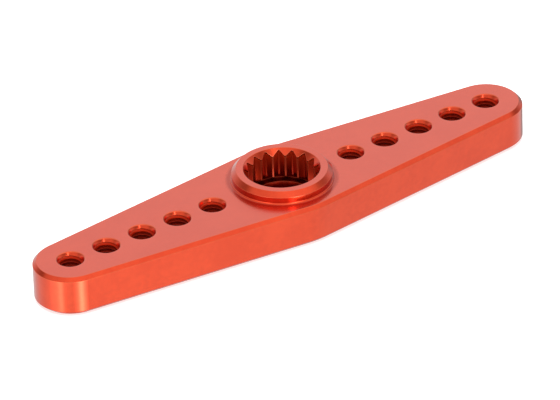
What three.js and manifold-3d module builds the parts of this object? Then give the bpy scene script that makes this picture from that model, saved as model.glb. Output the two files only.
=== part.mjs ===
// A double-arm servo horn, machined in one piece from aluminium bar.
// Two tapering arms carry a row of M3 tapped holes each. A round boss in the
// middle holds the internally serrated socket that fits the servo's shaft,
// and a screw through the web under the socket holds the horn on.
// Millimetres, +Z up. The origin is on the socket's axis, on the underside.

import * as THREE from 'three';
import { mergeVertices } from 'three/addons/utils/BufferGeometryUtils.js';
import Module from 'manifold-3d';

// Plate: two arms in one outline, chamfered along both faces.
const PLATE_THICKNESS = 5.0;
const EDGE_CHAMFER = 0.45;
const HALF_WIDTH = 7.75;
const FLANK_RADIUS = 11.4;
const END_RADIUS = 4.5;

// Tapped holes: a straight row along each arm, the last one at the centre of
// the arm's round end. The bore is the M3 thread's minor diameter.
const HOLE_PITCH = 5.0;
const FIRST_HOLE = 2;
const LAST_HOLE = 6;
const TAP_RADIUS = 1.25;
const COUNTERSINK_RADIUS = 1.7;
const COUNTERSINK_HALF_ANGLE = THREE.MathUtils.degToRad(30);

// Boss: a short turned collar with a wide chamfer.
const BOSS_RADIUS = 6.05;
const BOSS_HEIGHT = 1.52;
const BOSS_CHAMFER_WIDTH = 0.55;
const BOSS_CHAMFER_HEIGHT = 0.6;

// Socket: straight serrations under a tapered lead-in. The flats are shares
// of the angle from one tooth to the next.
const TOOTH_COUNT = 17;
const TOOTH_PHASE = THREE.MathUtils.degToRad(134.75);
const TIP_RADIUS = 4.06;
const ROOT_RADIUS = 4.45;
const TIP_FLAT = 0.14;
const ROOT_FLAT = 0.12;
const MOUTH_RADIUS = 4.64;
const MOUTH_HALF_ANGLE = THREE.MathUtils.degToRad(35);
const SOCKET_DEPTH = 4.1;

// Undercut: an annular groove between the teeth and the socket's floor, where
// the tool that cuts the teeth runs out.
const UNDERCUT_RADIUS = 4.62;
const UNDERCUT_HEIGHT = 0.42;

// Web under the socket: a relief bore, then the clearance hole of the screw.
const RELIEF_RADIUS = 3.6;
const WEB_THICKNESS = 1.4;
const SCREW_HOLE_RADIUS = 2.15;
const SCREW_HOLE_CHAMFER = 0.3;

// How far a cutter runs past the face that it opens.
const OVERRUN = 1.0;

// Facets.
const ARC_DIVISIONS = 14;
const BOSS_SEGMENTS = 96;
const HOLE_SEGMENTS = 32;

const RIM_HEIGHT = PLATE_THICKNESS + BOSS_HEIGHT;
const FLOOR_HEIGHT = RIM_HEIGHT - SOCKET_DEPTH;
const TEETH_BOTTOM = FLOOR_HEIGHT + UNDERCUT_HEIGHT;
const END_CENTRE = LAST_HOLE * HOLE_PITCH;

const wasm = await Module();
wasm.setup();

// Turns a closed three.js geometry into a manifold-3d solid.
function toSolid(geometry) {
  const bare = geometry.clone();
  bare.deleteAttribute('normal');
  bare.deleteAttribute('uv');
  const merged = mergeVertices(bare, 1e-5);
  const mesh = new wasm.Mesh({
    numProp: 3,
    vertProperties: new Float32Array(merged.attributes.position.array),
    triVerts: new Uint32Array(merged.index.array),
  });
  return new wasm.Manifold(mesh);
}

// Turns a manifold-3d solid back into a flat-shaded three.js geometry.
function toGeometry(solid) {
  const { vertProperties, triVerts } = solid.getMesh();
  const indexed = new THREE.BufferGeometry();
  indexed.setAttribute('position', new THREE.BufferAttribute(vertProperties, 3));
  indexed.setIndex(new THREE.BufferAttribute(triVerts, 1));
  const geometry = indexed.toNonIndexed();
  geometry.computeVertexNormals();
  return geometry;
}

// Turns a [radius, height] profile about the Z axis. It runs upwards from the
// axis back to the axis.
function turned(profile, segments) {
  const points = profile.map(([radius, height]) => new THREE.Vector2(radius, height));
  return new THREE.LatheGeometry(points, segments).rotateX(Math.PI / 2);
}

// The plate's outline: an arc round each arm's end, a wide arc at each flank,
// and the straight lines that touch both.
function plateOutline() {
  const flankCentre = HALF_WIDTH - FLANK_RADIUS;
  const centreDistance = Math.hypot(END_CENTRE, flankCentre);
  const tangentAngle = Math.atan2(-flankCentre, END_CENTRE)
    + Math.acos((FLANK_RADIUS - END_RADIUS) / centreDistance);
  const shape = new THREE.Shape();
  shape.absarc(END_CENTRE, 0, END_RADIUS, -tangentAngle, tangentAngle);
  shape.absarc(0, flankCentre, FLANK_RADIUS, tangentAngle, Math.PI - tangentAngle);
  shape.absarc(-END_CENTRE, 0, END_RADIUS, Math.PI - tangentAngle, Math.PI + tangentAngle);
  shape.absarc(0, -flankCentre, FLANK_RADIUS, Math.PI + tangentAngle, 2 * Math.PI - tangentAngle);
  return shape;
}

function plate() {
  const geometry = new THREE.ExtrudeGeometry(plateOutline(), {
    depth: PLATE_THICKNESS - 2 * EDGE_CHAMFER,
    curveSegments: ARC_DIVISIONS,
    bevelEnabled: true,
    bevelSegments: 1,
    bevelThickness: EDGE_CHAMFER,
    bevelSize: EDGE_CHAMFER,
    bevelOffset: -EDGE_CHAMFER,
  });
  return geometry.translate(0, 0, EDGE_CHAMFER);
}

// The boss starts inside the plate, so that the two join into one body.
function boss() {
  const base = PLATE_THICKNESS - OVERRUN;
  return turned([
    [0, base],
    [BOSS_RADIUS, base],
    [BOSS_RADIUS, RIM_HEIGHT - BOSS_CHAMFER_HEIGHT],
    [BOSS_RADIUS - BOSS_CHAMFER_WIDTH, RIM_HEIGHT],
    [0, RIM_HEIGHT],
  ], BOSS_SEGMENTS);
}

// A tapped hole's cutter: the bore with a 60 degree countersink at both faces.
function tappedHole() {
  const taper = Math.tan(COUNTERSINK_HALF_ANGLE);
  const depth = (COUNTERSINK_RADIUS - TAP_RADIUS) / taper;
  const outside = COUNTERSINK_RADIUS + OVERRUN * taper;
  return turned([
    [0, -OVERRUN],
    [outside, -OVERRUN],
    [TAP_RADIUS, depth],
    [TAP_RADIUS, PLATE_THICKNESS - depth],
    [outside, PLATE_THICKNESS + OVERRUN],
    [0, PLATE_THICKNESS + OVERRUN],
  ], HOLE_SEGMENTS);
}

// The serrations' cutter: a flat-tipped V for each tooth, all the way round. It
// starts inside the undercut and ends inside the mouth.
function serrations() {
  const pitch = 2 * Math.PI / TOOTH_COUNT;
  const corners = [
    [TIP_RADIUS, -TIP_FLAT / 2],
    [TIP_RADIUS, TIP_FLAT / 2],
    [ROOT_RADIUS, 0.5 - ROOT_FLAT / 2],
    [ROOT_RADIUS, 0.5 + ROOT_FLAT / 2],
  ];
  const points = [];
  for (let tooth = 0; tooth < TOOTH_COUNT; tooth += 1) {
    for (const [radius, share] of corners) {
      const angle = TOOTH_PHASE + (tooth + share) * pitch;
      points.push(new THREE.Vector2(radius * Math.cos(angle), radius * Math.sin(angle)));
    }
  }
  const bottom = FLOOR_HEIGHT + UNDERCUT_HEIGHT / 2;
  const geometry = new THREE.ExtrudeGeometry(new THREE.Shape(points), {
    depth: RIM_HEIGHT - bottom,
    bevelEnabled: false,
  });
  return geometry.translate(0, 0, bottom);
}

// The tapered lead-in, which cuts the teeth's upper ends to points.
function mouth() {
  const taper = Math.tan(MOUTH_HALF_ANGLE);
  const depth = (MOUTH_RADIUS - RELIEF_RADIUS) / taper;
  return turned([
    [0, RIM_HEIGHT - depth],
    [RELIEF_RADIUS, RIM_HEIGHT - depth],
    [MOUTH_RADIUS + OVERRUN * taper, RIM_HEIGHT + OVERRUN],
    [0, RIM_HEIGHT + OVERRUN],
  ], BOSS_SEGMENTS);
}

// The undercut and the relief bore below the teeth, and the screw's hole.
function screwBore() {
  const outside = SCREW_HOLE_RADIUS + SCREW_HOLE_CHAMFER + OVERRUN;
  return turned([
    [0, -OVERRUN],
    [outside, -OVERRUN],
    [SCREW_HOLE_RADIUS, SCREW_HOLE_CHAMFER],
    [SCREW_HOLE_RADIUS, WEB_THICKNESS],
    [RELIEF_RADIUS, WEB_THICKNESS],
    [RELIEF_RADIUS, FLOOR_HEIGHT],
    [UNDERCUT_RADIUS, FLOOR_HEIGHT],
    [UNDERCUT_RADIUS, TEETH_BOTTOM],
    [0, TEETH_BOTTOM],
  ], BOSS_SEGMENTS);
}

function hornSolid() {
  let solid = toSolid(plate()).add(toSolid(boss()));
  for (const cutter of [serrations(), mouth(), screwBore()]) {
    solid = solid.subtract(toSolid(cutter));
  }
  for (let place = FIRST_HOLE; place <= LAST_HOLE; place += 1) {
    for (const side of [-1, 1]) {
      const cutter = tappedHole().translate(side * place * HOLE_PITCH, 0, 0);
      solid = solid.subtract(toSolid(cutter));
    }
  }
  return solid;
}

const orangeAnodised = new THREE.MeshStandardMaterial({
  color: 0xd8492a,
  roughness: 0.35,
  metalness: 0.9,
});

const horn = new THREE.Mesh(toGeometry(hornSolid()), orangeAnodised);
horn.name = 'servo_horn';

const part = new THREE.Group();
part.add(horn);

export default part;
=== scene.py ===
import math

import bmesh
import bpy
from mathutils import Matrix, Vector
from mathutils.geometry import delaunay_2d_cdt


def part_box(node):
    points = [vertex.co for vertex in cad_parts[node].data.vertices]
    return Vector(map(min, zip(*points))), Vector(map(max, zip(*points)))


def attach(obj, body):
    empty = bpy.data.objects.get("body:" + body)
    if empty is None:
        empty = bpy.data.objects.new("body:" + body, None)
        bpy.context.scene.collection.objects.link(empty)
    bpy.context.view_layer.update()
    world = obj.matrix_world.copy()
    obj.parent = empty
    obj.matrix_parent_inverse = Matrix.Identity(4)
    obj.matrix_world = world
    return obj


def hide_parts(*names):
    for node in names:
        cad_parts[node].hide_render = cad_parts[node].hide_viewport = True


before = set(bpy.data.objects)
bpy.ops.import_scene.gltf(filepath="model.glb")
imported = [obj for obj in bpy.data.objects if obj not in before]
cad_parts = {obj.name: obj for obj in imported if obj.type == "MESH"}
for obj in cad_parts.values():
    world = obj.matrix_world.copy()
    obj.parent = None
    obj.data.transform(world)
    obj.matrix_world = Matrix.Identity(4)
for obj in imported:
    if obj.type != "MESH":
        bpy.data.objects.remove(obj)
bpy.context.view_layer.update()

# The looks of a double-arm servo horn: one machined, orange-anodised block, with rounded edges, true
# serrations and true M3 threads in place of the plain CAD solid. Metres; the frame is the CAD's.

NODE = "servo_horn"
MM = 0.001

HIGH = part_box(NODE)[1]

# Plate
HALF_LENGTH = HIGH.x
HALF_WIDTH = HIGH.y
THICKNESS = 5.0 * MM
END_RADIUS = 4.5 * MM
FLANK_RADIUS = 11.4 * MM
END_STEPS = 64
FLANK_STEPS = 16
EDGE_CHAMFER = 0.45 * MM
EDGE_ROUND = 0.1 * MM

# Tapped holes
HOLE_PITCH = 5.0 * MM
HOLE_PLACES = [side * place * HOLE_PITCH for side in (-1, 1) for place in range(2, 7)]
COUNTERSINK_RADIUS = 1.66 * MM
COUNTERSINK_ROUND = 0.2 * MM
COUNTERSINK_TAPER = math.tan(math.radians(30))
THREAD_MINOR = 1.25 * MM
THREAD_DEPTH = 0.22 * MM
THREAD_PITCH = 0.5 * MM
THREAD_START = 0.3 * MM     # from a face to the thread's first turn
THREAD_FULL = 0.4 * MM      # from a face to where the thread has its full depth
THREAD_TURN = 0.157         # where round the hole the thread begins, in turns
THREAD_CREST = 0.25         # share of the pitch that is flat at the crests
THREAD_FLANKS = 0.62        # share of the pitch that the two flanks take
THREAD_ROWS = 14            # rows of faces to a turn
THREAD_STEPS = 64

# Boss
RIM = HIGH.z
BOSS_RADIUS = 6.05 * MM
BOSS_FILLET = 0.24 * MM
BOSS_ROUND = 0.07 * MM
BOSS_CHAMFER_WIDTH = 0.55 * MM
BOSS_CHAMFER_HEIGHT = 0.6 * MM

# Socket
TOOTH_COUNT = 17
TOOTH_PHASE = math.radians(134.75)
TIP_RADIUS = 4.06 * MM
ROOT_RADIUS = 4.45 * MM
TIP_FLAT = 0.14
ROOT_FLAT = 0.12
TOOTH_BLUR = 0.012
# Where the points of half a tooth stand, as shares of the way from tip to tip: close together where the
# flanks meet the flats.
HALF_TOOTH = [0.0, 0.045, 0.06, 0.07, 0.08, 0.095, 0.16, 0.25, 0.34, 0.415, 0.43, 0.44, 0.45, 0.465]
MOUTH_RADIUS = 4.64 * MM
MOUTH_RISE = 1 / math.tan(math.radians(35))
MOUTH_ROUND = 0.1 * MM
MOUTH_LIP = 0.09 * MM       # how far the rounded lip reaches down the cone, measured across
SOCKET_DEPTH = 4.1 * MM
UNDERCUT_RADIUS = 4.62 * MM
UNDERCUT_HEIGHT = 0.42 * MM
UNDERCUT_ROUND = 0.08 * MM
RELIEF_RADIUS = 3.6 * MM
RELIEF_ROUND = 0.1 * MM
WEB_THICKNESS = 1.4 * MM
SCREW_RADIUS = 2.15 * MM
SCREW_CHAMFER = 0.3 * MM
SMALL_ROUND = 0.05 * MM
BURR = 0.02 * MM            # width of the broken edges of the teeth

SOCKET_FLOOR = RIM - SOCKET_DEPTH
TEETH_BOTTOM = SOCKET_FLOOR + UNDERCUT_HEIGHT

SMOOTH_ANGLE = math.radians(30)


# ---------------------------------------------------------------- profiles and rings

def rounded(corners, steps=4):
    """Points (across, up, edge) of a profile. corners is a list of (across, up, radius); a radius of 0 is a
    sharp corner. edge goes from 0 to 1 and back over each rounded corner."""
    points = []
    for i, (across, up, radius) in enumerate(corners):
        here = Vector((across, up))
        if radius == 0:
            points.append((across, up, 0.0))
            continue
        before = (Vector(corners[i - 1][:2]) - here).normalized()
        after = (Vector(corners[i + 1][:2]) - here).normalized()
        half = before.angle(after) / 2
        centre = here + (before + after).normalized() * (radius / math.sin(half))
        first = here + before * (radius / math.tan(half)) - centre
        last = here + after * (radius / math.tan(half)) - centre
        for step in range(steps + 1):
            point = centre + first.slerp(last, step / steps) * radius
            points.append((point.x, point.y, math.sin(math.pi * step / steps)))
    return points


class Shell:
    """A closed surface built from rings of points."""

    def __init__(self):
        self.points = []
        self.edges = []
        self.faces = []

    def ring(self, points, edge=0.0):
        """Adds a ring of points. edge says how far each lies on a rounded edge, which the colour lightens as
        wear and painted highlight: one number or one for each.
        """
        start = len(self.points)
        self.points.extend(points)
        self.edges.extend(edge if isinstance(edge, list) else [edge] * len(points))
        return list(range(start, len(self.points)))

    def bridge(self, rings, closed=True):
        """Joins each ring to the next with a band of quads."""
        for one, two in zip(rings, rings[1:]):
            count = len(one)
            for i in range(count if closed else count - 1):
                j = (i + 1) % count
                self.faces.append((one[i], one[j], two[j], two[i]))

    def fill(self, loops):
        """Fills the flat area between an outer loop and the round loops inside it."""
        flat, edges, source, owner = [], [], [], []
        for number, loop in enumerate(loops):
            start = len(flat)
            count = len(loop)
            source.extend(loop)
            owner.extend([number] * count)
            flat.extend(Vector(self.points[i][:2]) / MM for i in loop)
            edges.extend((start + i, start + (i + 1) % count) for i in range(count))
        made = delaunay_2d_cdt(flat, edges, [], 1, 1e-6)
        for face in made[2]:
            corners = [made[3][v][0] for v in face]
            owners = {owner[c] for c in corners}
            if len(owners) > 1 or owners == {0}:
                self.faces.append(tuple(source[c] for c in corners))

    def to_object(self, name):
        mesh = bpy.data.meshes.new(name)
        mesh.from_pydata(self.points, [], self.faces)
        mesh.attributes.new("edge", "FLOAT", "POINT").data.foreach_set("value", self.edges)
        made = bpy.data.objects.new(name, mesh)
        bpy.context.scene.collection.objects.link(made)
        return made


def circle(radius, height, angles, centre_x=0.0):
    """Points at the given angles. radius is a number or a list with one for each angle, and so is height."""
    count = len(angles)
    radii = radius if isinstance(radius, list) else [radius] * count
    heights = height if isinstance(height, list) else [height] * count
    return [
        (centre_x + r * math.cos(a), r * math.sin(a), h)
        for r, h, a in zip(radii, heights, angles)
    ]


def even_angles(count):
    return [math.tau * i / count for i in range(count)]


def share_of(value, start, stop):
    """How far value is on its way from start to stop, 0 to 1."""
    return min(max((value - start) / (stop - start), 0.0), 1.0)


def smooth(value, start, stop):
    """The same share, with a soft start and a soft end."""
    share = share_of(value, start, stop)
    return share * share * (3 - 2 * share)


# ---------------------------------------------------------------- the horn's surface

def outline(inset, height):
    """The plate's outline, moved inwards: two end arcs, two flank arcs and the lines that touch them."""
    end_centre = HALF_LENGTH - END_RADIUS
    flank_centre = HALF_WIDTH - FLANK_RADIUS
    distance = math.hypot(end_centre, flank_centre)
    touch = math.atan2(-flank_centre, end_centre) + math.acos((FLANK_RADIUS - END_RADIUS) / distance)
    arcs = [
        (end_centre, 0, END_RADIUS, -touch, touch, END_STEPS),
        (0, flank_centre, FLANK_RADIUS, touch, math.pi - touch, FLANK_STEPS),
        (-end_centre, 0, END_RADIUS, math.pi - touch, math.pi + touch, END_STEPS),
        (0, -flank_centre, FLANK_RADIUS, math.pi + touch, math.tau - touch, FLANK_STEPS),
    ]
    points = []
    for x, y, radius, start, stop, steps in arcs:
        reach = radius - inset
        for step in range(steps + 1):
            angle = start + (stop - start) * step / steps
            points.append((x + reach * math.cos(angle), y + reach * math.sin(angle), height))
    return points


def plate_edge(shell):
    """The chamfered outer wall, from the underside's edge to the top face's edge."""
    profile = rounded([
        (2 * EDGE_CHAMFER, 0, 0),
        (EDGE_CHAMFER, 0, EDGE_ROUND),
        (0, EDGE_CHAMFER, EDGE_ROUND),
        (0, THICKNESS - EDGE_CHAMFER, EDGE_ROUND),
        (EDGE_CHAMFER, THICKNESS, EDGE_ROUND),
        (2 * EDGE_CHAMFER, THICKNESS, 0),
    ])[1:-1]
    # The rounds' edge values make the colour lighter there, as wear and as a painted highlight line.
    rings = [shell.ring(outline(inset, height), edge) for inset, height, edge in profile]
    shell.bridge(rings)
    return rings[0], rings[-1]


def thread_radius(angle, height):
    """Radius of an M3 internal thread: flat crests at the minor diameter, flat roots at the major one."""
    turn = height / THREAD_PITCH - angle / math.tau + THREAD_TURN
    from_crest = abs((turn % 1.0) - 0.5) * 2
    share = share_of(from_crest, THREAD_CREST, THREAD_CREST + THREAD_FLANKS)
    inside = min(height, THICKNESS - height)
    depth = THREAD_DEPTH * smooth(inside, THREAD_START, THREAD_FULL)
    return max(THREAD_MINOR + depth * share, COUNTERSINK_RADIUS - inside * COUNTERSINK_TAPER)


def thread(shell, centre_x, low, high):
    """The threaded wall. Its rows climb with the thread, and the ends of a row meet the rows a turn away."""
    angles = even_angles(THREAD_STEPS) + [math.tau]
    turns = (high - low) / THREAD_PITCH + 1
    rows = []
    for row in range(math.ceil(turns * THREAD_ROWS) + 1):
        start = low + THREAD_PITCH * (row / THREAD_ROWS - 1)
        heights = [min(max(start + THREAD_PITCH * a / math.tau, low), high) for a in angles]
        radii = [thread_radius(a, z) for a, z in zip(angles, heights)]
        rows.append(shell.ring(circle(radii, heights, angles, centre_x)))
    shell.bridge(rows, closed=False)


def tapped_hole(shell, centre_x):
    """A threaded hole with a countersink at both faces."""
    angles = even_angles(THREAD_STEPS)
    lip = rounded([
        (2 * COUNTERSINK_RADIUS, THICKNESS, 0),
        (COUNTERSINK_RADIUS, THICKNESS, COUNTERSINK_ROUND),
        (COUNTERSINK_RADIUS - COUNTERSINK_TAPER * THREAD_START, THICKNESS - THREAD_START, 0),
    ], 3)[1:]
    under = [shell.ring(circle(r, THICKNESS - z, angles, centre_x), edge) for r, z, edge in lip]
    over = [shell.ring(circle(r, z, angles, centre_x), edge) for r, z, edge in lip]
    shell.bridge(under)
    shell.bridge(over)
    thread(shell, centre_x, THREAD_START, THICKNESS - THREAD_START)
    return under[0], over[0]


def tooth_level(share):
    """How far the socket's wall is from tip to root, 0 to 1, at a share of the way from tooth to tooth."""
    rise = min(share % 1.0, 1 - share % 1.0) * 2
    return share_of(rise, TIP_FLAT, 1 - ROOT_FLAT)


def tooth_section():
    """Angles and radii round the socket: V-shaped teeth whose tips and roots have small rounded flats."""
    shares = HALF_TOOTH + [0.5] + [1 - s for s in reversed(HALF_TOOTH[1:])]
    angles, radii = [], []
    for tooth in range(TOOTH_COUNT):
        for share in shares:
            near = tooth_level(share - TOOTH_BLUR) + tooth_level(share + TOOTH_BLUR)
            level = (near + 2 * tooth_level(share)) / 4
            angles.append(TOOTH_PHASE + (tooth + share) * math.tau / TOOTH_COUNT)
            radii.append(TIP_RADIUS + (ROOT_RADIUS - TIP_RADIUS) * level)
    return angles, radii


def hub(shell):
    """The boss, the serrated socket and the screw hole, from the top face round to the underside."""
    angles, teeth = tooth_section()

    def ring(radius, height, edge=0.0):
        return shell.ring(circle(radius, height, angles), edge)

    def up_the_cone(gap, edge=0.0):
        """A ring on the mouth's cone, this far outside the teeth."""
        radii = [r + gap for r in teeth]
        return ring(radii, [RIM - (MOUTH_RADIUS - r) * MOUTH_RISE for r in radii], edge)

    outside = rounded([
        (BOSS_RADIUS + 2 * BOSS_FILLET, THICKNESS, 0),
        (BOSS_RADIUS, THICKNESS, BOSS_FILLET),
        (BOSS_RADIUS, RIM - BOSS_CHAMFER_HEIGHT, BOSS_ROUND),
        (BOSS_RADIUS - BOSS_CHAMFER_WIDTH, RIM, BOSS_ROUND),
        (MOUTH_RADIUS, RIM, MOUTH_ROUND),
        (MOUTH_RADIUS - MOUTH_LIP, RIM - MOUTH_LIP * MOUTH_RISE, 0),
    ])[1:-1]
    rings = []
    # Only the boss's own rounds keep their edge values, which the colour lightens as wear and painted
    # highlight.
    for radius, height, edge in outside:
        on_boss = radius < BOSS_RADIUS and height > THICKNESS
        rings.append(ring(radius, height, edge if on_boss else 0.0))
    # The cone's lip and the teeth's tips carry edge values, which the colour lightens as wear and painted
    # highlight lines.
    tooth_ends = [RIM - (MOUTH_RADIUS - r) * MOUTH_RISE - BURR for r in teeth]
    crest = [1 - smooth(r, TIP_RADIUS, TIP_RADIUS + 2 * BURR) for r in teeth]
    rings += [
        up_the_cone(3 * BURR),
        up_the_cone(BURR, 1.0),
        ring(teeth, tooth_ends, crest),
        ring(teeth, TEETH_BOTTOM + BURR, crest),
        ring([r + BURR for r in teeth], TEETH_BOTTOM),
        ring(UNDERCUT_RADIUS, TEETH_BOTTOM),
    ]
    inside = rounded([
        (UNDERCUT_RADIUS, TEETH_BOTTOM, 0),
        (UNDERCUT_RADIUS, SOCKET_FLOOR, UNDERCUT_ROUND),
        (RELIEF_RADIUS, SOCKET_FLOOR, RELIEF_ROUND),
        (RELIEF_RADIUS, WEB_THICKNESS, SMALL_ROUND),
        (SCREW_RADIUS, WEB_THICKNESS, SMALL_ROUND),
        (SCREW_RADIUS, SCREW_CHAMFER, SMALL_ROUND),
        (SCREW_RADIUS + SCREW_CHAMFER, 0, SMALL_ROUND),
        (SCREW_RADIUS + 2 * SCREW_CHAMFER, 0, 0),
    ], 3)[1:-1]
    # The inside's rounded corners carry edge values too, lightened as wear and a painted highlight arc, less
    # so inside.
    rings += [ring(radius, height, edge) for radius, height, edge in inside]
    shell.bridge(rings)
    return rings[-1], rings[0]


def horn():
    shell = Shell()
    ends = [plate_edge(shell)] + [tapped_hole(shell, x) for x in HOLE_PLACES] + [hub(shell)]
    shell.fill([low for low, _ in ends])
    shell.fill([high for _, high in ends])
    return shell.to_object("horn")


def shading_normals(mesh):
    """A normal for each corner of each face: the mean of the faces round the point that lie within the
    smooth angle of this one. Each counts by its area, so flat faces stay flat up to their rounds."""
    around = [[] for _ in mesh.vertices]
    faces = [(face.normal.copy(), face.normal * face.area) for face in mesh.polygons]
    for face, pair in zip(mesh.polygons, faces):
        for point in face.vertices:
            around[point].append(pair)
    nearest = math.cos(SMOOTH_ANGLE)
    normals = []
    for face, (normal, _) in zip(mesh.polygons, faces):
        for point in face.vertices:
            total = Vector((0, 0, 0))
            for other, weighted in around[point]:
                if normal.dot(other) > nearest:
                    total += weighted
            normals.append(total.normalized())
    return normals


def finish_surface(piece):
    """Joins the bands, turns all faces outwards, and shades the rounds smooth and the flat faces flat."""
    work = bmesh.new()
    work.from_mesh(piece.data)
    bmesh.ops.remove_doubles(work, verts=work.verts, dist=0.0001 * MM)
    bmesh.ops.recalc_face_normals(work, faces=work.faces)
    work.to_mesh(piece.data)
    work.free()
    piece.data.shade_smooth()
    piece.data.normals_split_custom_set(shading_normals(piece.data))


# ---------------------------------------------------------------- nodes

class Graph:
    """A short way to write a node tree."""

    def __init__(self, tree):
        self.tree = tree

    def node(self, kind, *values, **settings):
        """Adds a node. values fill its inputs in order, by link or by value."""
        made = self.tree.nodes.new(kind)
        for name, value in settings.items():
            setattr(made, name, value)
        for socket, value in zip([i for i in made.inputs if i.enabled], values):
            self.put(socket, value)
        return made

    def put(self, socket, value):
        if isinstance(value, bpy.types.NodeSocket):
            self.tree.links.new(value, socket)
        else:
            socket.default_value = value

    def math(self, operation, *values):
        return self.node("ShaderNodeMath", *values, operation=operation).outputs[0]

    def times(self, *masks):
        """All the masks multiplied."""
        product = masks[0]
        for mask in masks[1:]:
            product = self.math("MULTIPLY", product, mask)
        return product

    def plus(self, start, *parts):
        """start plus each part's mask times its amount. parts are (mask, amount)."""
        total = start
        for mask, amount in parts:
            total = self.math("ADD", total, self.math("MULTIPLY", mask, amount))
        return total

    def length(self, x, y):
        return self.math("SQRT", self.math("ADD", self.times(x, x), self.times(y, y)))

    def parts(self, vector):
        """The x, y and z of a vector."""
        return self.node("ShaderNodeSeparateXYZ", vector).outputs

    def noise(self, vector, size, detail):
        """Noise from 0 to 1, with features of the given size in metres."""
        return self.node("ShaderNodeTexNoise", vector, 1 / size, detail).outputs["Fac"]

    def step(self, value, start, stop):
        """Goes smoothly from 0 to 1 while value goes from start to stop."""
        return self.node("ShaderNodeMapRange", value, start, stop, 0.0, 1.0,
                         interpolation_type="SMOOTHSTEP").outputs[0]

    def blend(self, factor, one, two):
        made = self.node("ShaderNodeMix", data_type="RGBA")
        self.put(made.inputs["Factor"], factor)
        self.put(made.inputs["A"], one)
        self.put(made.inputs["B"], two)
        return made.outputs["Result"]

    def ramp(self, value, stops, top):
        """A smooth curve through (place, level) stops. Levels run from 0 to top."""
        made = self.node("ShaderNodeValToRGB", value)
        made.color_ramp.interpolation = "EASE"
        elements = made.color_ramp.elements
        while len(elements) < len(stops):
            elements.new(0.5)
        for element, (place, level) in zip(elements, stops):
            element.position = place
            share = level / top
            element.color = (share, share, share, 1)
        return self.math("MULTIPLY", made.outputs["Color"], top)


# ---------------------------------------------------------------- material

# The dye's colours as metal reflects them, linear, and the tints painted over them: painted sheen, painted
# shade, and wear with painted highlight.
DYE = (0.80, 0.050, 0.004, 1)
LIGHTER_DYE = (0.88, 0.064, 0.008, 1)
# Painted sheen: whiter tints for the flat faces and the outer walls, standing in for the white reflection
# they show at a slant.
FLAT_SHEEN_TINT = (0.86, 0.18, 0.13, 1)
WALL_SHEEN_TINT = (0.86, 0.20, 0.11, 1)
# Painted shade: darker colours inside the socket and the threads, and on the plate round the boss's foot.
SOCKET_AND_FOOT_SHADE = (0.38, 0.017, 0.003, 1)
THREAD_SHADE = (0.46, 0.016, 0.002, 1)
# Painted shade, darker still, on the socket's floor and deep in the threads.
BOTTOM_PAINTED_SHADE = (0.12, 0.005, 0.002, 1)
# Wear and painted highlight: a paler tint on the rounded edges.
WEAR_AND_HIGHLIGHT_TINT = (0.95, 0.26, 0.12, 1)

# How far the colour goes towards those tints, where they apply.
# Painted sheen on the flat faces and on the outer walls.
FLAT_SHEEN = 0.5
WALL_SHEEN = 0.12
# Painted shade inside the socket and the threads, and on the plate round the boss's foot.
DEEP_SHADE = 0.9
FOOT_SHADE = 0.55
BOTTOM_SHADE = 0.55
# Wear and painted highlight on the rounded edges, weaker inside the socket and the threads.
WEAR_AND_HIGHLIGHT = 0.4
WEAR_AND_HIGHLIGHT_LOST_INSIDE = 0.7

# Sizes of the surface's patterns, and the height of its marks.
CLOUD = 4.0 * MM
MOTTLE = 0.6 * MM
GRAIN = 0.16 * MM
MILLING = 0.25 * MM
TURNING = 0.12 * MM
MARK_HEIGHT = 0.0006 * MM


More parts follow.
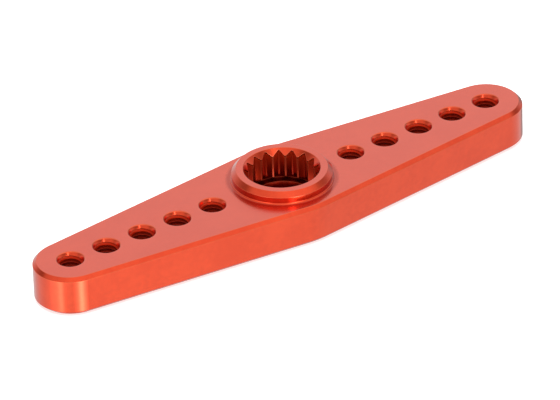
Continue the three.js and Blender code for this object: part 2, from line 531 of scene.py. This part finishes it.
def places(g):
    """Where on the horn a point is: masks from 0 to 1, and the coordinates that patterns follow."""
    coordinates = g.node("ShaderNodeTexCoord")
    position = coordinates.outputs["Object"]
    x, y, z = g.parts(position)
    tilt = g.math("ABSOLUTE", g.parts(coordinates.outputs["Normal"])[2])
    radius = g.length(x, y)
    wall = g.step(tilt, 0.4, 0.2)

    # The boss and the plate round its foot
    turned = g.times(g.step(z, THICKNESS, THICKNESS + 0.1 * MM),
                     g.step(radius, MOUTH_RADIUS - 0.5 * MM, MOUTH_RADIUS))
    from_top = g.math("ABSOLUTE", g.math("SUBTRACT", z, THICKNESS))
    # foot: the plate round the boss's foot, which the colour darkens as painted shade, the boss wall's dark
    # reflection.
    foot = g.times(g.step(radius, BOSS_RADIUS + 0.9 * MM, BOSS_RADIUS + 0.4 * MM),
                   g.step(from_top, 0.05 * MM, 0.02 * MM))

    # The socket, from just under its mouth's cone to just above the screw hole's chamfer
    from_mouth = g.math("MULTIPLY", g.math("SUBTRACT", MOUTH_RADIUS, radius), MOUTH_RISE)
    under_cone = g.math("SUBTRACT", g.math("SUBTRACT", RIM, from_mouth), z)
    socket = g.times(g.step(under_cone, 0.02 * MM, 0.3 * MM),
                     g.step(radius, MOUTH_RADIUS + BURR, MOUTH_RADIUS),
                     g.step(z, SCREW_CHAMFER, 3 * SCREW_CHAMFER))

    # The threads, between the arms' first holes and their last
    from_hole = g.length(g.math("PINGPONG", x, HOLE_PITCH / 2), y)
    from_middle = g.math("ABSOLUTE", g.math("SUBTRACT", z, THICKNESS / 2))
    reach = g.math("ABSOLUTE", x)
    first, last = HOLE_PLACES[5], HOLE_PLACES[-1]
    threads = g.times(g.step(from_hole, 1.65 * MM, 1.55 * MM),
                      g.step(from_middle, 2.15 * MM, 1.9 * MM),
                      g.step(reach, first - 2.0 * MM, first - 1.8 * MM),
                      g.step(reach, last + 2.2 * MM, last + 2.0 * MM))

    # The socket's floor and the threads' middles, which the colour darkens further as painted shade.
    socket_bottom = g.times(socket, g.step(z, TEETH_BOTTOM + 0.3 * MM, TEETH_BOTTOM - 0.1 * MM))
    thread_bottom = g.times(threads, g.step(from_middle, 1.9 * MM, 1.2 * MM))
    # In the colour, deep, bottom and foot carry painted shade, flat and outer_wall carry painted sheen, and
    # edge carries wear and painted highlight.
    return {
        "position": position, "radius": radius, "z": z,
        "deep": g.math("MAXIMUM", socket, threads),
        "thread": threads,
        "bottom": g.math("MAXIMUM", socket_bottom, thread_bottom),
        "foot": foot,
        "open_teeth": g.times(socket, g.step(z, TEETH_BOTTOM + 0.2 * MM, RIM - 0.8 * MM)),
        "edge": g.node("ShaderNodeAttribute", attribute_name="edge").outputs["Fac"],
        "wall": wall,
        "outer_wall": g.times(wall, g.step(radius, BOSS_RADIUS + 0.5 * MM, BOSS_RADIUS + 1.0 * MM)),
        "flat": g.step(tilt, 0.9, 0.99),
        "turned": turned,
    }


def dye_and_painted_light(g, where):
    """The base colour: the dye, a little cloudy at random; painted sheen on the flat faces and outer walls;
    painted shade in the socket, the threads and round the boss's foot; rounded edges lighter as wear and
    painted highlight.
    """
    tone = g.plus(0.0, (g.noise(where["position"], CLOUD, 3.0), 0.6),
                  (g.noise(where["position"], MOTTLE, 3.0), 0.4))
    colour = g.blend(g.step(tone, 0.35, 0.65), DYE, LIGHTER_DYE)
    # Painted sheen: the flat faces and the outer walls go paler, towards white, in place of the reflection
    # they show at a slant.
    painted_sheen = g.plus(0.0, (where["flat"], FLAT_SHEEN), (where["outer_wall"], WALL_SHEEN))
    colour = g.blend(painted_sheen, colour, g.blend(where["flat"], WALL_SHEEN_TINT, FLAT_SHEEN_TINT))
    # Painted shade: the socket, the threads and the plate round the boss's foot go darker, as their shade and
    # the boss's dark reflection would make them.
    painted_shade = g.math("MAXIMUM", g.times(where["deep"], DEEP_SHADE), g.times(where["foot"], FOOT_SHADE))
    colour = g.blend(painted_shade, colour, g.blend(where["thread"], SOCKET_AND_FOOT_SHADE, THREAD_SHADE))
    # Painted shade, darker still, on the socket's floor and deep in the threads.
    colour = g.blend(g.times(where["bottom"], BOTTOM_SHADE), colour, BOTTOM_PAINTED_SHADE)
    # Rounded edges go lighter, partly as wear and partly as painted highlight.
    wear_and_highlight = g.times(where["edge"], g.plus(1.0, (where["deep"], -WEAR_AND_HIGHLIGHT_LOST_INSIDE)), WEAR_AND_HIGHLIGHT)
    return g.blend(wear_and_highlight, colour, WEAR_AND_HIGHLIGHT_TINT)


def anodised():
    """Orange anodised aluminium: dyed metal under a thin clear oxide, etched to a satin. Its relief is a fine
    grain, with milling marks up the walls and turning marks round the boss. Its base colour also carries
    painted sheen, painted shade and painted highlights."""
    material = bpy.data.materials.new("orange_anodised")
    material.use_nodes = True
    g = Graph(material.node_tree)
    where = places(g)

    grain = g.noise(where["position"], GRAIN, 3.0)
    upright = g.node("ShaderNodeVectorMath", where["position"], (1, 1, 0.02), operation="MULTIPLY")
    milling = g.noise(upright.outputs[0], MILLING, 2.0)
    across = g.node("ShaderNodeCombineXYZ", where["radius"], where["z"], 0.0)
    turning = g.noise(across.outputs[0], TURNING, 2.0)
    marks = g.plus(grain, (g.times(milling, where["wall"]), 0.8),
                   (g.times(turning, where["turned"]), 1.2))
    bump = g.node("ShaderNodeBump", 1.0, MARK_HEIGHT)
    g.put(bump.inputs["Height"], marks)

    shader = material.node_tree.nodes["Principled BSDF"]
    for name, value in {
        "Base Color": dye_and_painted_light(g, where),
        "Metallic": g.plus(1.0, (where["open_teeth"], -0.65), (where["thread"], -0.2)),
        "Roughness": g.plus(0.14, (grain, 0.10), (where["flat"], 0.05), (where["deep"], 0.14),
                            (where["thread"], 0.16), (where["foot"], 0.08)),
        "Normal": bump.outputs[0],
        "Specular IOR Level": 0.15,
        "Coat Weight": g.plus(1.0, (where["deep"], -0.9)),
        "Coat Roughness": 0.12,
        "Coat IOR": 1.4,
        "Coat Normal": bump.outputs[0],
    }.items():
        g.put(shader.inputs[name], value)
    return material


# ---------------------------------------------------------------- studio

CAMERA_AZIMUTH = math.radians(-33.583)
CAMERA_ELEVATION = math.radians(31.405)
CAMERA_ROLL = math.radians(-1.892)
CAMERA_DISTANCE = 706.27 * MM
CAMERA_AIM = Vector((0.159, 0.858, 1.488)) * MM
CAMERA_LENS = 380.03

GROUND_SIZE = 6.0
GROUND_GAP = 0.01 * MM
GROUND_GLOW = 0.6           # evens out the shade on the floor

LAMP_PLACE = (0.1, 0.2, 1.2)
LAMP_SIZE = 1.0
LAMP_POWER = 18.0

# Brightness of the studio's walls by compass direction in degrees, 0 at +X and 90 at +Y, in three bands: from
# below the horn, from the side, and from above. The peaks are soft boxes.
BELOW = [
    (-180, 1.45), (-170, 1.6), (-156, 2.6), (-142, 1.15), (-118, 1.05), (-106, 1.7), (-94, 4.3),
    (-80, 1.9), (-71, 0.94), (-58, 0.95), (-44, 0.9), (0, 0.84), (35, 0.34), (64, 0.7), (104, 0.74),
    (125, 0.84), (145, 0.88), (165, 1.05), (180, 1.45),
]
LEVEL = [
    (-180, 0.6), (-158, 0.72), (-136, 0.72), (-116, 0.7), (-108, 0.75), (-101, 4.6), (-95, 0.6),
    (-80, 0.38), (-56, 0.38), (-36, 0.52), (-24, 0.46), (-8, 0.34), (22, 0.32), (36, 0.76), (56, 0.88),
    (80, 0.84), (96, 0.6), (122, 0.36), (150, 0.27), (165, 0.32), (180, 0.6),
]
ABOVE = [
    (-180, 0.85), (-140, 0.98), (-110, 1.1), (-60, 1.05), (-45, 0.95), (-20, 0.95), (56, 0.85), (120, 0.8),
    (180, 0.85),
]
BRIGHTEST = 6.0

# Heights, as the sine of the elevation, over which one band turns into the next.
STRAIGHT_DOWN = (-0.84, -0.72)
BELOW_TO_LEVEL = (0.05, 0.48)
LEVEL_TO_ABOVE = (0.53, 0.63)
# Straight down, the horn's light on the floor is what its lower edges reflect.
STRAIGHT_DOWN_COLOUR = (0.75, 0.25, 0.18, 1)


def camera():
    data = bpy.data.cameras.new("camera")
    data.lens = CAMERA_LENS
    data.sensor_width = 36
    data.clip_start = 0.01
    data.clip_end = 20
    made = bpy.data.objects.new("camera", data)
    bpy.context.scene.collection.objects.link(made)
    az, el = CAMERA_AZIMUTH, CAMERA_ELEVATION
    back = Vector((math.sin(az) * math.cos(el), -math.cos(az) * math.cos(el), math.sin(el)))
    level = Vector((math.cos(az), math.sin(az), 0))
    upright = back.cross(level)
    right = level * math.cos(CAMERA_ROLL) + upright * math.sin(CAMERA_ROLL)
    up = upright * math.cos(CAMERA_ROLL) - level * math.sin(CAMERA_ROLL)
    axes = Matrix((right, up, back)).transposed().to_4x4()
    made.matrix_world = Matrix.Translation(CAMERA_AIM + back * CAMERA_DISTANCE) @ axes
    bpy.context.scene.camera = made


def floor():
    bpy.ops.mesh.primitive_plane_add(size=GROUND_SIZE, location=(0, 0, -GROUND_GAP))
    plane = bpy.context.object
    plane.name = "floor"
    plane.visible_glossy = False
    material = bpy.data.materials.new("floor")
    material.use_nodes = True
    shader = material.node_tree.nodes["Principled BSDF"]
    for name, value in {
        "Base Color": (0.6, 0.6, 0.6, 1),
        "Emission Color": (1.0, 1.0, 1.0, 1),
        "Emission Strength": GROUND_GLOW,
        "Roughness": 0.9,
        "Specular IOR Level": 0.0,
    }.items():
        shader.inputs[name].default_value = value
    plane.data.materials.append(material)


def studio_walls():
    """Soft boxes, white walls and darker gaps round the object, which its metal reflects."""
    world = bpy.data.worlds.new("studio")
    bpy.context.scene.world = world
    world.use_nodes = True
    g = Graph(world.node_tree)
    x, y, z = g.parts(g.node("ShaderNodeTexCoord").outputs["Generated"])
    compass = g.math("ADD", g.math("DIVIDE", g.math("ARCTAN2", y, x), math.tau), 0.5)
    below, level, above = [
        g.ramp(compass, [(degrees / 360 + 0.5, bright) for degrees, bright in band], BRIGHTEST)
        for band in (BELOW, LEVEL, ABOVE)
    ]
    whole = g.blend(g.step(z, *BELOW_TO_LEVEL), below, level)
    whole = g.blend(g.step(z, *LEVEL_TO_ABOVE), whole, above)
    whole = g.blend(g.step(z, *STRAIGHT_DOWN), STRAIGHT_DOWN_COLOUR, whole)
    g.put(world.node_tree.nodes["Background"].inputs["Color"], whole)


def lamp():
    """A large soft lamp above the floor. The metal reflects the studio's walls and not the lamp."""
    data = bpy.data.lights.new("overhead", "AREA")
    data.size = LAMP_SIZE
    data.energy = LAMP_POWER
    made = bpy.data.objects.new("overhead", data)
    made.location = LAMP_PLACE
    made.rotation_euler = Vector(LAMP_PLACE).to_track_quat("Z", "Y").to_euler()
    made.visible_glossy = False
    bpy.context.scene.collection.objects.link(made)


bpy.context.scene.view_settings.view_transform = "Standard"
camera()
floor()
studio_walls()
lamp()

piece = horn()
finish_surface(piece)
piece.data.materials.append(anodised())
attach(piece, "root")
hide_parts(NODE)
